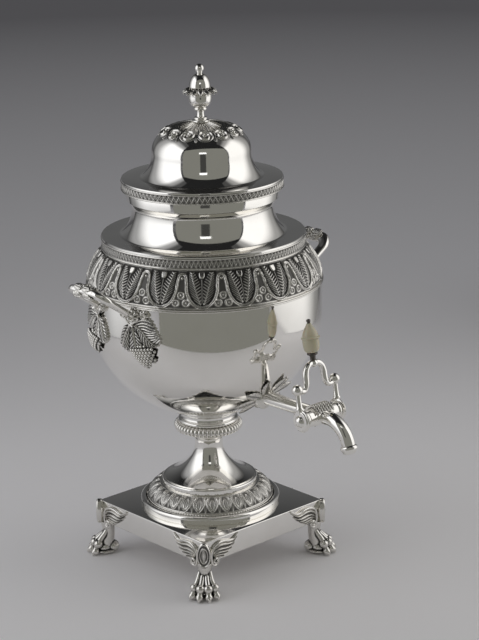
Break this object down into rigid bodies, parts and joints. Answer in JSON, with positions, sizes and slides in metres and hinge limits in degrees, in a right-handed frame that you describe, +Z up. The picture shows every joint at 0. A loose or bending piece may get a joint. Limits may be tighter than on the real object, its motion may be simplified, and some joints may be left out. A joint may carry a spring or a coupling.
{
  "type": "tea urn",
  "caption": "Round silver tea urn with domed lid and finial, bow handles with vine mounts, stirrup-key tap with ivory knob, on a square plinth with paw feet",
  "frame": {"origin": "on the urn's upright axis, in the plane of the four soles", "axes": "+Z up, the tap towards -Y, the handles towards +X and -X, the plinth's sides along X and Y"},
  "size_m": [0.2466, 0.257, 0.399],
  "materials": {
    "polished_silver": "polished",
    "chased_silver": "cast and chased, dark in the hollows",
    "dark_fittings": "dark patina",
    "heater_iron": "black",
    "ivory": "satin"
  },
  "bodies": {
    "urn": {"plinth": "polished_silver", "foot_front_left": "chased_silver", "foot_front_right": "chased_silver", "foot_back_left": "chased_silver", "foot_back_right": "chased_silver", "wings_front_left": "chased_silver", "wings_front_right": "chased_silver", "wings_back_left": "chased_silver", "wings_back_right": "chased_silver", "base_ring": "polished_silver", "foot_leaf_band": "chased_silver", "foot_ring": "polished_silver", "stem": "polished_silver", "gadroon_collar": "chased_silver", "necking": "polished_silver", "bowl": "polished_silver", "frieze_wire": "chased_silver", "frieze_band": "chased_silver", "shoulder_band": "chased_silver", "neck": "polished_silver", "handle_left": "polished_silver", "handle_right": "polished_silver", "grip_wrap_left": "chased_silver", "grip_wrap_right": "chased_silver", "rosettes_left": "chased_silver", "rosettes_right": "chased_silver", "vine_leaves_left": "chased_silver", "vine_leaves_right": "chased_silver", "grapes_left": "chased_silver", "grapes_right": "chased_silver", "tap_escutcheon": "chased_silver", "tap_pipe": "polished_silver", "tap_barrel": "polished_silver", "barrel_shell": "chased_silver", "tap_spout": "polished_silver", "spout_lip": "polished_silver", "heater_sleeve": "dark_fittings", "heater_iron": "heater_iron", "heater_cover": "dark_fittings"},
    "lid": {"lid_dome": "polished_silver", "lid_rim_band": "chased_silver", "lid_bezel": "polished_silver", "lid_calyx": "chased_silver", "finial_foot": "polished_silver", "finial_cup": "polished_silver", "finial_collar": "chased_silver", "finial_acorn": "polished_silver", "finial_stud": "dark_fittings", "finial_nut": "dark_fittings"},
    "tap_key": {"tap_plug": "polished_silver", "key_cap_left": "polished_silver", "key_cap_right": "polished_silver", "key_rod_left": "polished_silver", "key_rod_right": "polished_silver", "key_yoke": "polished_silver", "knob_stud": "dark_fittings", "key_knob": "ivory", "knob_tip": "dark_fittings"}
  },
  "joints": [
    {"name": "lid_lift", "type": "slide", "parent": "urn", "child": "lid", "axis": [0, 0, 1], "range_m": [0, 0.12]},
    {"name": "key_turn", "type": "hinge", "parent": "urn", "child": "tap_key", "pos_m": [0, -0.1266, 0.1488], "axis": [1, 0, 0], "range_deg": [0, 90]}
  ]
}
